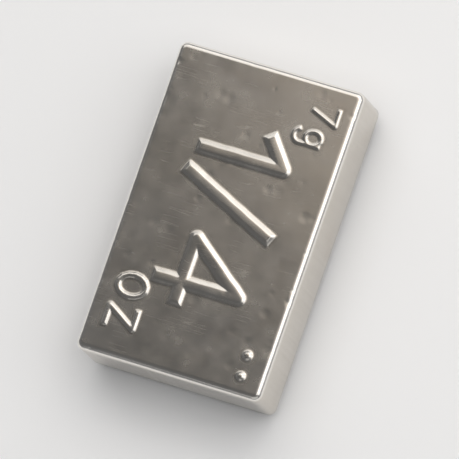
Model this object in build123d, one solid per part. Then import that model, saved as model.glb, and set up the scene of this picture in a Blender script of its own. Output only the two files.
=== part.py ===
from build123d import *
import os

# Stick-on wheel balance weight: a coined steel block, nickel plated, on a pad of foam tape.
# Millimetres. +Z points out of the marked face, +Y runs along the long side, and the origin is the
# centre of the tape's underside, which is the face that goes on the wheel rim.

# Steel block
BLOCK_WIDTH = 11.6
BLOCK_LENGTH = 19.0
BLOCK_HEIGHT = 4.11
# Corners of the flat top face, inside the rounding of its edge
FACE_CORNER_RADIUS = 0.1
TOP_EDGE_RADIUS = 0.4
# Small break of the sheared edge at the foot
FOOT_EDGE_RADIUS = 0.2

# Foam tape
TAPE_THICKNESS = 0.8
TAPE_CORNER_RADIUS = 0.2
# How far the tape stops short of the edge of the block's flat underside
TAPE_MARGIN = 0.25


def steel_block():
    """Block that stands on the tape, with its top edge rounded all the way round."""
    corner_radius = FACE_CORNER_RADIUS + TOP_EDGE_RADIUS
    outline = RectangleRounded(BLOCK_WIDTH, BLOCK_LENGTH, corner_radius)
    block = extrude(Plane.XY.offset(TAPE_THICKNESS) * outline, BLOCK_HEIGHT)
    block = fillet(block.faces().sort_by(Axis.Z)[-1].edges(), TOP_EDGE_RADIUS)
    return fillet(block.faces().sort_by(Axis.Z)[0].edges(), FOOT_EDGE_RADIUS)


def tape_pad():
    """Pad of tape under the flat part of the block's underside."""
    inset = FOOT_EDGE_RADIUS + TAPE_MARGIN
    outline = RectangleRounded(
        BLOCK_WIDTH - 2 * inset,
        BLOCK_LENGTH - 2 * inset,
        TAPE_CORNER_RADIUS,
    )
    return extrude(outline, TAPE_THICKNESS)


os.makedirs("parts", exist_ok=True)
export_step(steel_block(), "parts/weight_body.step")
export_step(tape_pad(), "parts/adhesive_tape.step")
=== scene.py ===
import math

import bpy
import numpy as np
from mathutils import Matrix, Vector


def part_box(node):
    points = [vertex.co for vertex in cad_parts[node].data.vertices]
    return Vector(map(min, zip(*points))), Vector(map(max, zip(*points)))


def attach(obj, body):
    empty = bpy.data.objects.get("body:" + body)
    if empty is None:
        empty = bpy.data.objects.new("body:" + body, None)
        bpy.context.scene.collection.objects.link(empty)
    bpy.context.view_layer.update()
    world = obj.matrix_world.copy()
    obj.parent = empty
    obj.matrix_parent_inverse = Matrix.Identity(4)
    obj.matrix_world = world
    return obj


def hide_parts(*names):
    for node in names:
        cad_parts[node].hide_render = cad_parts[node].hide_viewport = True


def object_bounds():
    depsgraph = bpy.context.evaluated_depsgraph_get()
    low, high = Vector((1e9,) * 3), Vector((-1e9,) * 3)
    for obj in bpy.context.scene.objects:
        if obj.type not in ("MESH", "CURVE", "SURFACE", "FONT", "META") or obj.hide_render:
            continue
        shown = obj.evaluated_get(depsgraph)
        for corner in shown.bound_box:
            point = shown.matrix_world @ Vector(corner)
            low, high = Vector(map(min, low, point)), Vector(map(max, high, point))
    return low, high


# Stick-on wheel balance weight: a coined steel block with a nickel plate, raised figures on its face,
# on a pad of foam tape. Metres, in the frame of the CAD model.

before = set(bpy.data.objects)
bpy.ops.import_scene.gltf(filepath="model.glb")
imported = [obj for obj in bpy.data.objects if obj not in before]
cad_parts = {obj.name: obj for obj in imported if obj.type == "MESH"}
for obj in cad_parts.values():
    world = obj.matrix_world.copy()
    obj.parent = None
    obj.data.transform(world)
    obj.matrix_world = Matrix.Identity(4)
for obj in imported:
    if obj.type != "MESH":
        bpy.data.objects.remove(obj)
cad_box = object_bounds()

MM = 0.001
# Least length that is divided by
TINY = 1e-12

# Block: radii of the face's corners, of the edge round it and of the edge at the foot, as in the CAD model
FACE_CORNER_RADIUS = 0.1 * MM
TOP_EDGE_RADIUS = 0.4 * MM
FOOT_EDGE_RADIUS = 0.2 * MM
# How finely the block is divided
FACE_STEP = 0.054 * MM
FACE_CORNER_CELLS = 4
TOP_EDGE_RINGS = 10
WALL_RINGS = 5
FOOT_EDGE_RINGS = 4
# Rim of the underside: its width, its rings as shares of that, and the height that still counts as flat
UNDERSIDE_LIP = 0.35 * MM
LIP_SHARES = (0.15, 1.0)
UNDERSIDE_MARGIN = 0.01 * MM
# Where the walls' finish starts, in radii of the top edge below the face, and the height of its fade
WALL_START = 0.7
WALL_FADE = 0.3 * MM

# Raised figures on the face: their height, and the width of their flanks, at most a share of the stroke's
RELIEF_HEIGHT = 0.135 * MM
STROKE_FLANK = 0.31 * MM
FLANK_SHARE = 0.36
# Share of a flank that is rounded at its foot and at its brow
FLANK_EASE = 0.2
# Strokes that are narrower than this are lower
SHALLOW_BELOW = 0.6 * MM
# How far a stroke's crown falls towards its sides, its outline wanders and its die is filled
STROKE_CROWN = 0.25
STROKE_WANDER = 0.007 * MM
STROKE_FILL = 0.07
WANDER_LENGTH = (1.2 * MM, 3.5 * MM)
FILL_LENGTH = (3.0 * MM, 8.0 * MM)
# How far the grime and painted shade at the foot of a stroke reach
FOOT_REACH = 0.22 * MM
ARC_STEPS = 14
# Where the relief is read about each point, in steps of the face's grid, and the share of each reading
AVERAGE = ((-0.5, 0.25), (0.0, 0.5), (0.5, 0.25))

# Unevenness of the coined steel
WAVE_COUNT = 14
WAVE_HEIGHT = 0.003 * MM
WAVE_LENGTH = (2.4 * MM, 8.0 * MM)
NICK_COUNT = 18
NICK_RADIUS = (0.12 * MM, 0.3 * MM)
NICK_DEPTH = (0.005 * MM, 0.016 * MM)
DENT_COUNT = 90
DENT_RADIUS = (0.16 * MM, 0.5 * MM)
DENT_SLOPE = (0.006, 0.022)
SEED = 11

# Foam tape
TAPE_STEP = 0.045 * MM
TAPE_CORNER_RADIUS = 0.2 * MM
TAPE_CORNER_CELLS = 5
TAPE_WALL_RINGS = 18
TAPE_LIP = 0.15 * MM
TAPE_BOW = 0.02 * MM
ADHESIVE_FILM = 0.06 * MM
CELL_COUNT = 1500
CELL_RADIUS = (0.07 * MM, 0.19 * MM)
CELL_DEPTH_SHARE = 0.5

# Noises: blots to a millimetre, layers of finer blots, and the strength of each beside the one before
CLOUD_NOISE = (0.2, 3.0, 0.5)
STAIN_NOISE = (0.38, 4.0, 0.55)
GRIME_AND_SHADE_NOISE = (1.7, 3.0, 0.5)
DULL_NOISE = (0.9, 4.0, 0.55)
PEEL_NOISE = (1.8, 1.0, 0.5)
GRAIN_NOISE = (9.0, 2.0, 0.5)
DRAWN_NOISE = (1.0, 3.0, 0.5)
SCRATCH_NOISE = (1.0, 1.0, 0.5)
PATCH_NOISE = (0.4, 1.0, 0.5)
FOAM_NOISE = (7.0, 3.0, 0.6)
TACK_NOISE = (1.8, 3.0, 0.5)
FLOOR_NOISE = (0.02, 2.0, 0.5)
# The middle of a noise, and the parts of its range that are spread out
NOISE_MIDDLE = 0.5
NOISE_CORE = (0.3, 0.7)
SHADE_CORE = (0.32, 0.68)
STAIN_CORE = (0.54, 0.78)
WHOLE = (0.0, 1.0)

# Nickel plate: its colours
CLOUD_COLOURS = ((0.625, 0.585, 0.525, 1.0), (0.675, 0.640, 0.590, 1.0))
STAIN_COLOUR = (0.560, 0.490, 0.415, 1.0)
# Grime colour laid at the feet of the figures: partly dirt, partly painted shade in the creases there
GRIME_AND_SHADE_COLOUR = (0.330, 0.300, 0.260, 1.0)
# Near-white colour for the edge's rounding and the figures' flanks: a little wear, mostly a painted
# highlight where the lights reflect
RUBBED_AND_HIGHLIGHT_COLOUR = (0.920, 0.890, 0.845, 1.0)
DRAWN_COLOUR = (0.560, 0.520, 0.465, 1.0)
# How much stains, grime with painted shade and drawn lines cover, and how strongly the figures' flanks are
# worn and painted with a highlight
STAIN_COVER = (0.0, 0.4)
GRIME_AND_SHADE_COVER = (0.15, 0.55)
DRAWN_COVER = (0.0, 0.35)
FLANK_RUB_AND_HIGHLIGHT = 1.8
# Its roughness, and what scratches, feet of figures, worn places that carry the painted highlight and walls
# add to that
PLATE_ROUGHNESS = (0.20, 0.28)
SCRATCH_ROUGHNESS = 0.14
FOOT_ROUGHNESS = 0.06
RUBBED_ROUGHNESS = -0.08
WALL_ROUGHNESS = (-0.12, -0.05)
# Height of its faint waves, and of grain, scratches and drawn lines beside them
PLATE_BUMP = 0.0018 * MM
GRAIN_HEIGHT = 0.12
SCRATCH_HEIGHT = -0.3
DRAWN_HEIGHT = 0.8
# How far drawn lines and scratches are drawn out: less than 1 is longer, more is finer
DRAWN_STRETCH = (5.0, 5.0, 0.12)
SCRATCH_STRETCH = (0.09, 2.2, 2.2)
# Scratches in each direction: its turn in radians, their width in their noise, and where in the noise of
# their patches they start to show
SCRATCHES = ((0.35, 0.005, 0.58), (1.9, 0.005, 0.59), (2.7, 0.004, 0.60))
PATCH_EDGE = 0.06

# Foam and adhesive: colours, how much of the film's colour shows, roughness and bumps
FOAM_COLOURS = ((0.016, 0.016, 0.018, 1.0), (0.075, 0.075, 0.080, 1.0))
FILM_COLOUR = (0.085, 0.080, 0.072, 1.0)
FILM_COVER = 0.7
FOAM_ROUGHNESS = (0.78, 0.95)
FILM_ROUGHNESS = (0.28, 0.48)
FOAM_BUMP = 0.012 * MM
FOAM_BUMP_STRENGTH = 0.8
WEAVE_SCALE = 0.55
WEAVE_DISTORTION = 0.6

# Floor
FLOOR_HALF = 1.5
FLOOR_COLOURS = ((0.86, 0.86, 0.865, 1.0), (0.90, 0.90, 0.90, 1.0))
FLOOR_ROUGHNESS = 0.75

# Camera: the photograph's line of sight to the weight, its turn about that line, and the framing
VIEW_AZIMUTH = 63.2
VIEW_ELEVATION = 71.4
VIEW_ROLL = -45.2
VIEW_DISTANCE = 0.75
VIEW_DEPTH = (0.05, 5.0)
FRAME_SIDE = 26.5 * MM
SENSOR_WIDTH = 36.0

# Surroundings: their tint, the side they are brightest on, their glow away from it and there, and how near
# to it, as a cosine, the glow starts to rise
ROOM_TINT = (0.97, 0.98, 1.0, 1.0)
BRIGHT_SIDE = (0.55, 0.65, 0.52)
ROOM_GLOW = (0.135, 0.38)
GLOW_START = 0.42
# A paler band round the horizon, from full at the first rise to nothing at the second
HORIZON_GLOW = 0.12
HORIZON_BAND = (0.15, 0.42)

# Soft lights: name, heading, elevation, distance, width, height, glow and colour
SOFTBOXES = (
    ("back_light", -18.0, 42.5, 0.30, 70.0, 41.0, 0.95, (1.0, 0.98, 0.95)),
    ("corner_light", 42.0, 46.0, 0.30, 48.0, 38.0, 0.86, (1.0, 0.98, 0.95)),
    ("right_light", 81.0, 50.0, 0.30, 30.0, 48.0, 0.95, (1.0, 0.99, 0.98)),
    ("front_light", 160.0, 30.0, 0.30, 64.0, 34.0, 0.36, (1.0, 0.99, 0.97)),
    ("top_light", 10.0, 65.5, 0.10, 35.0, 35.0, 0.52, (1.0, 0.88, 0.75)),
)
# A light from above for the floor and the tape, which shows in no reflection
FLOOR_LIGHT = ("floor_light", 0.0, 85.0, 0.50, 60.0, 60.0, 1.00, (1.0, 1.0, 1.0))

body_low, body_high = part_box("weight_body")
tape_low, tape_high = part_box("adhesive_tape")


# Outlines and rings

def grid_lines(half_size, corner, step, corner_cells):
    """Places of a face's grid lines along one axis, closer together at its rounded corners."""
    inner = half_size - corner
    cells = round(2 * inner / step)
    middle = np.linspace(-inner, inner, cells + 1)
    rim = np.linspace(inner, half_size, corner_cells + 1)[1:]
    return np.concatenate([-rim[::-1], middle, rim])


def rounded_grid(half_x, half_y, corner, step, corner_cells):
    """Points of a grid over a rounded rectangle, as arrays x and y."""
    lines_x = grid_lines(half_x, corner, step, corner_cells)
    lines_y = grid_lines(half_y, corner, step, corner_cells)
    x, y = np.meshgrid(lines_x, lines_y, indexing="ij")
    centre_x = np.clip(x, corner - half_x, half_x - corner)
    centre_y = np.clip(y, corner - half_y, half_y - corner)
    out_x = x - centre_x
    out_y = y - centre_y
    reach = np.maximum(np.hypot(out_x, out_y), TINY)
    pull = np.maximum(np.abs(out_x), np.abs(out_y)) / reach
    return centre_x + out_x * pull, centre_y + out_y * pull


def rim_order(count_x, count_y):
    """Grid numbers of the points round the edge, anticlockwise."""
    number = np.arange(count_x * count_y).reshape(count_x, count_y)
    return np.concatenate(
        [number[:-1, 0], number[-1, :-1], number[:0:-1, -1], number[0, :0:-1]]
    )


def rings_below(rim_x, rim_y, half_x, half_y, corner, profile):
    """Rings of points under a rounded outline: each (out, z) of the profile is one offset of it."""
    centre_x = np.clip(rim_x, corner - half_x, half_x - corner)
    centre_y = np.clip(rim_y, corner - half_y, half_y - corner)
    out_x = (rim_x - centre_x) / corner
    out_y = (rim_y - centre_y) / corner
    rings = []
    for out, z in profile:
        reach = corner + out
        height = np.full(len(rim_x), z)
        rings.append(np.stack([centre_x + out_x * reach, centre_y + out_y * reach, height], 1))
    return rings


def grid_faces(count_x, count_y):
    """Upward quads of a grid."""
    number = np.arange(count_x * count_y).reshape(count_x, count_y)
    quads = [number[:-1, :-1], number[1:, :-1], number[1:, 1:], number[:-1, 1:]]
    return np.stack([q.ravel() for q in quads], 1)


def ring_faces(upper, lower):
    """Outward quads between two rings of point numbers."""
    return np.stack([upper, lower, np.roll(lower, -1), np.roll(upper, -1)], 1)


def cap_faces(ring, centre):
    """Triangles between a ring of point numbers and a point inside it, facing up if it is anticlockwise."""
    return np.stack([ring, np.roll(ring, -1), np.full(len(ring), centre)], 1)


def slab(half_x, half_y, corner, step, corner_cells, z_top, profile):
    """Closed slab: a gridded top face, the rings of its profile, and a flat cap under the last ring.
    Returns its points, its faces, and how many of its points are on the top face and in each ring."""
    x, y = rounded_grid(half_x, half_y, corner, step, corner_cells)
    top = np.stack([x.ravel(), y.ravel(), np.full(x.size, z_top)], 1)
    order = rim_order(*x.shape)
    rings = rings_below(top[order, 0], top[order, 1], half_x, half_y, corner, profile)
    faces = [grid_faces(*x.shape)]
    upper = order
    for index in range(len(rings)):
        lower = len(top) + index * len(order) + np.arange(len(order))
        faces.append(ring_faces(upper, lower))
        upper = lower
    middle = np.array([[0.0, 0.0, profile[-1][1]]])
    points = np.concatenate([top, *rings, middle])
    cap = cap_faces(upper[::-1], len(points) - 1)
    return points, np.concatenate(faces).tolist() + cap.tolist(), len(top), len(order)


def ring_solid(half_x, half_y, corner, step, corner_cells, profile):
    """Closed solid of rings round a rounded rectangle, with a flat cap on its first and last ring."""
    x, y = rounded_grid(half_x, half_y, corner, step, corner_cells)
    order = rim_order(*x.shape)
    rings = rings_below(x.ravel()[order], y.ravel()[order], half_x, half_y, corner, profile)
    numbers = np.arange(len(rings) * len(order)).reshape(len(rings), -1)
    sides = [ring_faces(upper, lower) for upper, lower in zip(numbers[:-1], numbers[1:])]
    middles = np.array([[0.0, 0.0, profile[0][1]], [0.0, 0.0, profile[-1][1]]])
    top_cap = cap_faces(numbers[0], numbers.size)
    foot_cap = cap_faces(numbers[-1][::-1], numbers.size + 1)
    faces = np.concatenate(sides).tolist() + top_cap.tolist() + foot_cap.tolist()
    return np.concatenate([*rings, middles]), faces


def quarter(count):
    """Angles that divide a quarter turn, without its start."""
    return np.linspace(0, math.pi / 2, count + 1)[1:]


# Raised figures, drawn with strokes in a frame whose capital height is 1

def curve(centre, radius_x, radius_y, start, stop):
    """Points along an elliptical arc, angles in degrees."""
    angle = np.radians(np.linspace(start, stop, ARC_STEPS + 1))
    return np.stack([centre[0] + radius_x * np.cos(angle), centre[1] + radius_y * np.sin(angle)], 1)


def line(*points):
    """Points of a straight-sided stroke."""
    return np.array(points, float)


# Each figure's width and strokes
FIGURES = {
    "1": (0.36, [line((0.0, 0.76), (0.30, 1.0), (0.30, 0.0))]),
    "4": (0.74, [line((0.54, 0.0), (0.54, 1.0), (0.0, 0.28), (0.74, 0.28))]),
    "7": (0.60, [line((0.0, 1.0), (0.60, 1.0), (0.20, 0.0))]),
    "/": (0.50, [line((0.0, -0.06), (0.50, 1.06))]),
    "O": (0.74, [curve((0.37, 0.5), 0.37, 0.5, 0, 360)]),
    "Z": (0.62, [line((0.02, 1.0), (0.60, 1.0), (0.0, 0.0), (0.62, 0.0))]),
    "g": (
        0.56,
        [
            curve((0.28, 0.33), 0.28, 0.33, 0, 360),
            np.concatenate([line((0.56, 0.60)), curve((0.28, -0.18), 0.28, 0.30, 0, -150)]),
        ],
    ),
    ".": (0.0, [line((0.0, 0.5), (0.0, 0.5))]),
}

# Each mark: its figures, the start of its baseline, capital height, spacing and stroke width.
# Marks read along -Y, with their tops towards +X.
MARKS = (
    ("1/4", (-2.35 * MM, 5.3 * MM), 5.0 * MM, 1.2 * MM, 1.0 * MM),
    ("OZ", (-4.55 * MM, -4.5 * MM), 1.75 * MM, 0.75 * MM, 0.46 * MM),
    ("7g", (3.2 * MM, 8.0 * MM), 1.5 * MM, 0.6 * MM, 0.32 * MM),
    ("..", (3.95 * MM, -7.1 * MM), 0.6 * MM, 1.25 * MM, 0.74 * MM),
)


def mark_strokes(text, start, height, spacing):
    """Strokes of a mark on the face."""
    strokes = []
    along = 0.0
    for letter in text:
        width, shapes = FIGURES[letter]
        for shape in shapes:
            x = start[0] + shape[:, 1] * height
            y = start[1] - (along + shape[:, 0] * height)
            strokes.append(np.stack([x, y], 1))
        along += width * height + spacing
    return strokes


def stroke_distance(points, strokes):
    """Distance of each point from the nearest stroke. Strokes have square ends and round joints."""
    nearest = np.full(len(points), np.inf)
    for stroke in strokes:
        closed = np.allclose(stroke[0], stroke[-1])
        last = len(stroke) - 2
        for index, (a, b) in enumerate(zip(stroke[:-1], stroke[1:])):
            length = np.linalg.norm(b - a)
            way = (b - a) / length if length > 0 else np.array([1.0, 0.0])
            along = (points - a) @ way
            across = np.abs((points - a) @ np.array([-way[1], way[0]]))
            over = np.maximum(np.maximum(-along, along - length), 0)
            free = np.where(along < 0, index == 0, index == last) & (not closed)
            gap = np.where(free, np.maximum(across, over), np.hypot(across, over))
            nearest = np.minimum(nearest, gap)
    return nearest


def smooth(t):
    """Smooth step from 0 to 1."""
    t = np.clip(t, 0, 1)
    return t * t * (3 - 2 * t)


def flank_rise(t):
    """Rise from 0 to 1 that is even between its rounded ends."""
    t = np.clip(t, 0, 1)
    foot = np.minimum(t, FLANK_EASE)
    brow = np.maximum(t - (1 - FLANK_EASE), 0)
    even = np.clip(t, FLANK_EASE, 1 - FLANK_EASE) - FLANK_EASE
    return (foot**2 / (2 * FLANK_EASE) + even + brow - brow**2 / (2 * FLANK_EASE)) / (1 - FLANK_EASE)


def waves(points, rng, shortest, longest):
    """Gentle waves over points in a plane or in space, from -1 to 1 or so."""
    total = np.zeros(len(points))
    for _ in range(WAVE_COUNT):
        length = rng.uniform(shortest, longest)
        way = rng.normal(size=points.shape[1])
        way /= np.linalg.norm(way)
        total += np.sin(points @ way * (2 * math.pi / length) + rng.uniform(0, 2 * math.pi))
    return total / math.sqrt(WAVE_COUNT / 2)


def figures(points, wander):
    """Height of the raised figures from 0 to 1, and the soft shade at their feet from 0 to 1."""
    height = np.zeros(len(points))
    foot = np.zeros(len(points))
    for text, start, capital, spacing, width in MARKS:
        gap = stroke_distance(points, mark_strokes(text, start, capital, spacing)) + wander
        flank = min(STROKE_FLANK, FLANK_SHARE * width)
        crown = 1 - STROKE_CROWN * np.clip(2 * gap / width, 0, 1) ** 2
        full = min(1.0, width / SHALLOW_BELOW)
        height = np.maximum(height, flank_rise((width / 2 - gap) / flank) * crown * full)
        foot = np.maximum(foot, 1 - np.clip(np.abs(gap - width / 2) / FOOT_REACH, 0, 1))
    return height, foot


def relief(points, rng):
    """Figures as a slightly worn die leaves them, averaged round each point so that no edge is jagged."""
    wander = waves(points, rng, *WANDER_LENGTH) * STROKE_WANDER
    fill = 1 - STROKE_FILL * (1 + np.clip(waves(points, rng, *FILL_LENGTH), -1, 1))
    height = np.zeros(len(points))
    foot = np.zeros(len(points))
    for step_x, share_x in AVERAGE:
        for step_y, share_y in AVERAGE:
            shift = np.array([step_x, step_y]) * FACE_STEP
            raised, shade = figures(points + shift, wander)
            height += raised * share_x * share_y
            foot += shade * share_x * share_y
    return height * fill, foot


# Dents, meshes and their normals

def press(points, normals, centres, radii, depths):
    """Presses round dents into the points, along their normals."""
    for centre, radius, depth in zip(centres, radii, depths):
        gap = np.linalg.norm(points - centre, axis=1)
        near = gap < radius
        share = (1 - (gap[near] / radius) ** 2) ** 2
        points[near] -= normals[near] * (depth * share)[:, None]


def mesh_object(name, points, faces, values):
    """Smooth-shaded mesh object with a number per point under each name in values."""
    mesh = bpy.data.meshes.new(name)
    mesh.from_pydata(points.tolist(), [], faces)
    for key, numbers in values.items():
        attribute = mesh.attributes.new(key, "FLOAT", "POINT")
        attribute.data.foreach_set("value", numbers.astype(np.float32))
    mesh.shade_smooth()
    piece = bpy.data.objects.new(name, mesh)
    bpy.context.scene.collection.objects.link(piece)
    return piece


def point_normals(points, faces):
    """Normals of the points of a mesh."""
    mesh = bpy.data.meshes.new("normals")
    mesh.from_pydata(points.tolist(), [], faces)
    normals = np.zeros(len(points) * 3)
    mesh.vertices.foreach_get("normal", normals)
    bpy.data.meshes.remove(mesh)
    return normals.reshape(-1, 3)


# Pieces

def block_profile(z_top, z_foot):
    """The block's side, from the edge of its face to its underside: how far out of that edge, and z."""
    profile = []
    for angle in quarter(TOP_EDGE_RINGS):
        drop = TOP_EDGE_RADIUS * (1 - math.cos(angle))
        profile.append((TOP_EDGE_RADIUS * math.sin(angle), z_top - drop))
    wall = np.linspace(z_top - TOP_EDGE_RADIUS, z_foot + FOOT_EDGE_RADIUS, WALL_RINGS + 1)[1:]
    profile += [(TOP_EDGE_RADIUS, z) for z in wall]
    for angle in quarter(FOOT_EDGE_RINGS):
        out = TOP_EDGE_RADIUS - FOOT_EDGE_RADIUS * (1 - math.cos(angle))
        profile.append((out, z_foot + FOOT_EDGE_RADIUS * (1 - math.sin(angle))))
    flat_out = TOP_EDGE_RADIUS - FOOT_EDGE_RADIUS
    profile += [(flat_out - UNDERSIDE_LIP * share, z_foot) for share in LIP_SHARES]
    return profile


def steel_block():
    """The coined block, with raised figures and a rounded, lightly nicked edge."""
    rng = np.random.default_rng(SEED)
    z_top, z_foot = body_high.z, body_low.z
    half_x = body_high.x - TOP_EDGE_RADIUS
    half_y = body_high.y - TOP_EDGE_RADIUS
    profile = block_profile(z_top, z_foot)
    points, faces, top_count, rim_count = slab(
        half_x, half_y, FACE_CORNER_RADIUS, FACE_STEP, FACE_CORNER_CELLS, z_top, profile
    )
    normals = point_normals(points, faces)
    underside = points[:, 2] < z_foot + UNDERSIDE_MARGIN
    edge_end = top_count + TOP_EDGE_RINGS * rim_count
    edge_numbers = np.arange(top_count, edge_end)

    nicked = rng.choice(edge_numbers, NICK_COUNT, replace=False)
    radii = rng.uniform(*NICK_RADIUS, NICK_COUNT)
    depths = rng.uniform(*NICK_DEPTH, NICK_COUNT)
    press(points, normals, points[nicked].copy(), radii, depths)

    dented = rng.choice(edge_end, DENT_COUNT, replace=False)
    radii = rng.uniform(*DENT_RADIUS, DENT_COUNT)
    depths = radii * rng.uniform(*DENT_SLOPE, DENT_COUNT)
    press(points, normals, points[dented].copy(), radii, depths)

    height, foot = relief(points[:top_count, :2], rng)
    uneven = waves(points, rng, *WAVE_LENGTH) * WAVE_HEIGHT
    uneven[underside] = 0
    points += normals * uneven[:, None]
    points[:top_count, 2] += height * RELIEF_HEIGHT

    raised = np.zeros(len(points))
    raised[:top_count] = height
    shade = np.zeros(len(points))
    shade[:top_count] = foot
    rounded = np.zeros(len(points))
    # Share of the edge's rounding that takes the painted highlight, most halfway round
    rounded[edge_numbers] = np.sin(np.repeat(quarter(TOP_EDGE_RINGS), rim_count) * 2)
    wall_share = smooth((z_top - WALL_START * TOP_EDGE_RADIUS - points[:, 2]) / WALL_FADE)
    values = {"raised": raised, "foot": shade, "edge": rounded, "wall": wall_share}
    return mesh_object("nickel_block", points, faces, values)


def foam_pad():
    """The pad of tape: foam with cut cells on its sides, between two thin films of adhesive."""
    rng = np.random.default_rng(SEED + 1)
    z_top, z_foot = tape_high.z, tape_low.z
    heights = np.linspace(z_top, z_foot, TAPE_WALL_RINGS + 1)
    bow = TAPE_BOW * np.sin(math.pi * (z_top - heights) / (z_top - z_foot))
    profile = [(-TAPE_LIP, z_top), *zip(-bow, heights), (-TAPE_LIP, z_foot)]
    points, faces = ring_solid(
        tape_high.x, tape_high.y, TAPE_CORNER_RADIUS, TAPE_STEP, TAPE_CORNER_CELLS, profile
    )
    normals = point_normals(points, faces)
    foam_top, foam_foot = z_top - ADHESIVE_FILM, z_foot + ADHESIVE_FILM
    cut = (points[:, 2] < foam_top) & (points[:, 2] > foam_foot)
    picked = rng.choice(np.flatnonzero(cut), CELL_COUNT, replace=False)
    radii = rng.uniform(*CELL_RADIUS, CELL_COUNT)
    outward = normals * cut[:, None]
    press(points, outward, points[picked].copy(), radii, radii * CELL_DEPTH_SHARE)
    film = np.where(cut, 0.0, 1.0)
    return mesh_object("foam_pad", points, faces, {"film": film})


# Materials

def add(tree, kind, inputs, **settings):
    """Adds a node to a tree. Each input is a number, a vector, a colour or another node's output."""
    node = tree.nodes.new(kind)
    for name, value in settings.items():
        setattr(node, name, value)
    for key, value in inputs.items():
        if isinstance(value, bpy.types.NodeSocket):
            tree.links.new(value, node.inputs[key])
        else:
            node.inputs[key].default_value = value
    return node


def maths(tree, operation, *values):
    """Output of a sum, product or other operation on numbers."""
    return add(tree, "ShaderNodeMath", dict(enumerate(values)), operation=operation).outputs[0]


def noise(tree, where, kind):
    """Cloudy noise from 0 to 1, of one of the kinds above."""
    scale, detail, roughness = kind
    inputs = {"Vector": where, "Scale": scale, "Detail": detail, "Roughness": roughness}
    return add(tree, "ShaderNodeTexNoise", inputs).outputs["Fac"]


def spread(tree, value, part, to):
    """A part of a value's range, mapped to another range and held there."""
    inputs = {0: value, 1: part[0], 2: part[1], 3: to[0], 4: to[1]}
    return add(tree, "ShaderNodeMapRange", inputs).outputs[0]


def blend_colour(tree, share, first, second):
    """Colour between two, by a share from 0 to 1."""
    return add(tree, "ShaderNodeMix", {0: share, 6: first, 7: second}, data_type="RGBA").outputs[2]


def blend_number(tree, share, first, second):
    """Number between two, by a share from 0 to 1."""
    return add(tree, "ShaderNodeMix", {0: share, 2: first, 3: second}).outputs[0]


def point_value(tree, name):
    """A number that the mesh holds for each point."""
    return add(tree, "ShaderNodeAttribute", {}, attribute_name=name).outputs["Fac"]


def millimetres(tree, turn=(0.0, 0.0, 0.0), stretch=(1.0, 1.0, 1.0)):
    """Object coordinates in millimetres, turned and stretched."""
    place = add(tree, "ShaderNodeTexCoord", {}).outputs["Object"]
    inputs = {"Vector": place, "Rotation": turn, "Scale": [s / MM for s in stretch]}
    return add(tree, "ShaderNodeMapping", inputs).outputs[0]


def new_material(name):
    """Material with one shader, its tree and the shader."""
    material = bpy.data.materials.new(name)
    material.use_nodes = True
    tree = material.node_tree
    tree.nodes.clear()
    shader = add(tree, "ShaderNodeBsdfPrincipled", {})
    add(tree, "ShaderNodeOutputMaterial", {"Surface": shader.outputs["BSDF"]})
    return material, tree, shader


def hairlines(tree, angle, width, start):
    """Fine scratches in one direction, 0 to 1, broken up into short runs."""
    along = millimetres(tree, (0.0, 0.0, angle), SCRATCH_STRETCH)
    field = noise(tree, along, SCRATCH_NOISE)
    away = maths(tree, "ABSOLUTE", maths(tree, "SUBTRACT", field, NOISE_MIDDLE))
    lines = spread(tree, away, (0.0, width), (1.0, 0.0))
    patches = noise(tree, millimetres(tree, (0.0, 0.0, 2.0 * angle)), PATCH_NOISE)
    return maths(tree, "MULTIPLY", lines, spread(tree, patches, (start, start + PATCH_EDGE), WHOLE))


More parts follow.
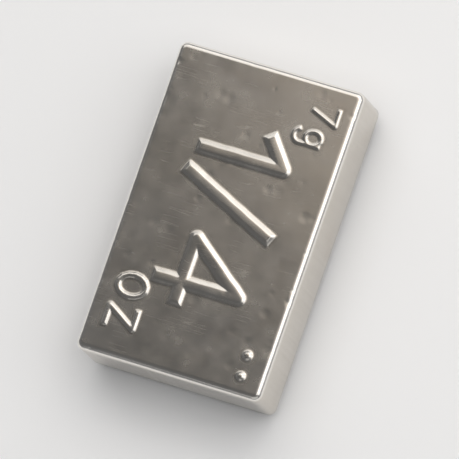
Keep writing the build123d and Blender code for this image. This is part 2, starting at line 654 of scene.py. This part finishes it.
def nickel():
    """Nickel plate over coined steel: satin, with fine grain, faint clouds and scratches; glossier edges
    and figure flanks painted near-white as a highlight, and painted shade at the figures' feet.
    """
    material, tree, shader = new_material("nickel_plate")
    where = millimetres(tree)
    edge, foot = point_value(tree, "edge"), point_value(tree, "foot")
    raised, wall = point_value(tree, "raised"), point_value(tree, "wall")

    cloud = spread(tree, noise(tree, where, CLOUD_NOISE), SHADE_CORE, WHOLE)
    colour = blend_colour(tree, cloud, *CLOUD_COLOURS)
    stain = spread(tree, noise(tree, where, STAIN_NOISE), STAIN_CORE, STAIN_COVER)
    colour = blend_colour(tree, stain, colour, STAIN_COLOUR)
    # Grime with painted shade at the feet of the figures, broken up by a noise
    grime_and_shade_patches = spread(tree, noise(tree, where, GRIME_AND_SHADE_NOISE), NOISE_CORE, GRIME_AND_SHADE_COVER)
    grime_and_shade = maths(tree, "MULTIPLY", foot, grime_and_shade_patches)
    colour = blend_colour(tree, grime_and_shade, colour, GRIME_AND_SHADE_COLOUR)
    # Painted highlight on the edge's rounding and the figures' mid-flanks, which are also made glossier
    # below
    flank = maths(tree, "MULTIPLY", raised, maths(tree, "SUBTRACT", 1.0, raised))
    rubbed_and_highlight = maths(tree, "MAXIMUM", edge, maths(tree, "MULTIPLY", flank, FLANK_RUB_AND_HIGHLIGHT))
    colour = blend_colour(tree, rubbed_and_highlight, colour, RUBBED_AND_HIGHLIGHT_COLOUR)

    first, *others = SCRATCHES
    scratch = hairlines(tree, *first)
    for direction in others:
        scratch = maths(tree, "MAXIMUM", scratch, hairlines(tree, *direction))
    drawn = noise(tree, millimetres(tree, stretch=DRAWN_STRETCH), DRAWN_NOISE)
    streak = maths(tree, "MULTIPLY", wall, spread(tree, drawn, NOISE_CORE, DRAWN_COVER))
    colour = blend_colour(tree, streak, colour, DRAWN_COLOUR)
    tree.links.new(colour, shader.inputs["Base Color"])

    dull = spread(tree, noise(tree, where, DULL_NOISE), NOISE_CORE, PLATE_ROUGHNESS)
    dull = maths(tree, "MULTIPLY_ADD", scratch, SCRATCH_ROUGHNESS, dull)
    dull = maths(tree, "MULTIPLY_ADD", foot, FOOT_ROUGHNESS, dull)
    dull = maths(tree, "MULTIPLY_ADD", rubbed_and_highlight, RUBBED_ROUGHNESS, dull)
    dull = maths(tree, "MULTIPLY_ADD", wall, spread(tree, drawn, NOISE_CORE, WALL_ROUGHNESS), dull)
    tree.links.new(dull, shader.inputs["Roughness"])

    peel = noise(tree, where, PEEL_NOISE)
    height = maths(tree, "MULTIPLY_ADD", noise(tree, where, GRAIN_NOISE), GRAIN_HEIGHT, peel)
    height = maths(tree, "MULTIPLY_ADD", scratch, SCRATCH_HEIGHT, height)
    height = maths(tree, "MULTIPLY_ADD", maths(tree, "MULTIPLY", drawn, wall), DRAWN_HEIGHT, height)
    bump = add(tree, "ShaderNodeBump", {"Strength": 1.0, "Distance": PLATE_BUMP, "Height": height})
    tree.links.new(bump.outputs["Normal"], shader.inputs["Normal"])
    shader.inputs["Metallic"].default_value = 1.0
    return material


def foam():
    """Dark foam with glossier films of adhesive, which its backing has marked."""
    material, tree, shader = new_material("foam_tape")
    where = millimetres(tree)
    film = point_value(tree, "film")
    cells = noise(tree, where, FOAM_NOISE)
    shade = spread(tree, cells, SHADE_CORE, WHOLE)
    grey = blend_colour(tree, shade, *FOAM_COLOURS)
    colour = blend_colour(tree, maths(tree, "MULTIPLY", film, FILM_COVER), grey, FILM_COLOUR)
    tree.links.new(colour, shader.inputs["Base Color"])
    matt = spread(tree, cells, NOISE_CORE, FOAM_ROUGHNESS)
    tacky = spread(tree, noise(tree, where, TACK_NOISE), NOISE_CORE, FILM_ROUGHNESS)
    tree.links.new(blend_number(tree, film, matt, tacky), shader.inputs["Roughness"])
    inputs = {"Vector": where, "Scale": WEAVE_SCALE, "Distortion": WEAVE_DISTORTION}
    weave = add(tree, "ShaderNodeTexWave", inputs).outputs["Fac"]
    height = blend_number(tree, film, cells, weave)
    inputs = {"Strength": FOAM_BUMP_STRENGTH, "Distance": FOAM_BUMP, "Height": height}
    bump = add(tree, "ShaderNodeBump", inputs)
    tree.links.new(bump.outputs["Normal"], shader.inputs["Normal"])
    return material


# Stage, light and camera

def aim(thing, place, target):
    """Puts a light at a place, facing a target."""
    thing.location = place
    thing.rotation_mode = "QUATERNION"
    thing.rotation_quaternion = (Vector(target) - Vector(place)).to_track_quat("-Z", "Y")


def softbox(name, heading, elevation, distance, width, height, glow, colour):
    """Rectangular soft light that faces the weight. The heading goes from +Y towards +X, the width and
    height are the angles that it fills, all in degrees, and the glow is the brightness of its face."""
    heading, elevation = math.radians(heading), math.radians(elevation)
    data = bpy.data.lights.new(name, "AREA")
    data.shape = "RECTANGLE"
    data.size = 2 * distance * math.tan(math.radians(width / 2))
    data.size_y = 2 * distance * math.tan(math.radians(height / 2))
    data.energy = glow * math.pi * data.size * data.size_y
    data.color = colour
    light = bpy.data.objects.new(name, data)
    bpy.context.scene.collection.objects.link(light)
    way = Vector(
        (
            math.sin(heading) * math.cos(elevation),
            math.cos(heading) * math.cos(elevation),
            math.sin(elevation),
        )
    )
    aim(light, way * distance, (0, 0, body_high.z))
    light.visible_camera = False
    return light


def floor():
    """Plain pale floor."""
    half = FLOOR_HALF
    corners = [(-half, -half, 0), (half, -half, 0), (half, half, 0), (-half, half, 0)]
    mesh = bpy.data.meshes.new("floor")
    mesh.from_pydata(corners, [], [(0, 1, 2, 3)])
    plane = bpy.data.objects.new("floor", mesh)
    bpy.context.scene.collection.objects.link(plane)
    material, tree, shader = new_material("floor")
    mottle = noise(tree, millimetres(tree), FLOOR_NOISE)
    shade = blend_colour(tree, mottle, *FLOOR_COLOURS)
    tree.links.new(shade, shader.inputs["Base Color"])
    shader.inputs["Roughness"].default_value = FLOOR_ROUGHNESS
    mesh.materials.append(material)


def studio_world():
    """Soft surroundings: lighter behind, to the right and low down, darker in front and to the left."""
    world = bpy.data.worlds.new("studio")
    bpy.context.scene.world = world
    world.use_nodes = True
    tree = world.node_tree
    tree.nodes.clear()
    way = add(tree, "ShaderNodeTexCoord", {}).outputs["Generated"]
    inputs = {0: way, 1: BRIGHT_SIDE}
    towards = add(tree, "ShaderNodeVectorMath", inputs, operation="DOT_PRODUCT").outputs["Value"]
    rise = add(tree, "ShaderNodeSeparateXYZ", {0: way}).outputs["Z"]
    room = spread(tree, towards, (GLOW_START, 1.0), ROOM_GLOW)
    horizon = spread(tree, rise, HORIZON_BAND, (HORIZON_GLOW, 0.0))
    glow = maths(tree, "ADD", room, horizon)
    shader = add(tree, "ShaderNodeBackground", {"Color": ROOM_TINT, "Strength": glow})
    add(tree, "ShaderNodeOutputWorld", {"Surface": shader.outputs["Background"]})


def camera():
    """Camera on the photograph's line of sight and as far off, with a longer lens."""
    azimuth, elevation = math.radians(VIEW_AZIMUTH), math.radians(VIEW_ELEVATION)
    back = Vector(
        (
            math.sin(azimuth) * math.cos(elevation),
            -math.cos(azimuth) * math.cos(elevation),
            math.sin(elevation),
        )
    )
    data = bpy.data.cameras.new("camera")
    data.sensor_width = SENSOR_WIDTH
    data.lens = SENSOR_WIDTH * VIEW_DISTANCE / FRAME_SIDE
    data.clip_start, data.clip_end = VIEW_DEPTH
    eye = bpy.data.objects.new("camera", data)
    bpy.context.scene.collection.objects.link(eye)
    middle = (cad_box[0] + cad_box[1]) / 2
    turn = (-back).to_track_quat("-Z", "Y").to_matrix() @ Matrix.Rotation(math.radians(VIEW_ROLL), 3, "Z")
    eye.matrix_world = Matrix.Translation(middle + back * VIEW_DISTANCE) @ turn.to_4x4()
    bpy.context.scene.camera = eye


block = steel_block()
block.data.materials.append(nickel())
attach(block, "root")
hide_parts("weight_body")

pad = foam_pad()
pad.data.materials.append(foam())
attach(pad, "root")
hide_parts("adhesive_tape")

floor()
studio_world()
for light in SOFTBOXES:
    softbox(*light)
fill = softbox(*FLOOR_LIGHT)
fill.visible_glossy = False
camera()
bpy.context.scene.view_settings.view_transform = "Standard"
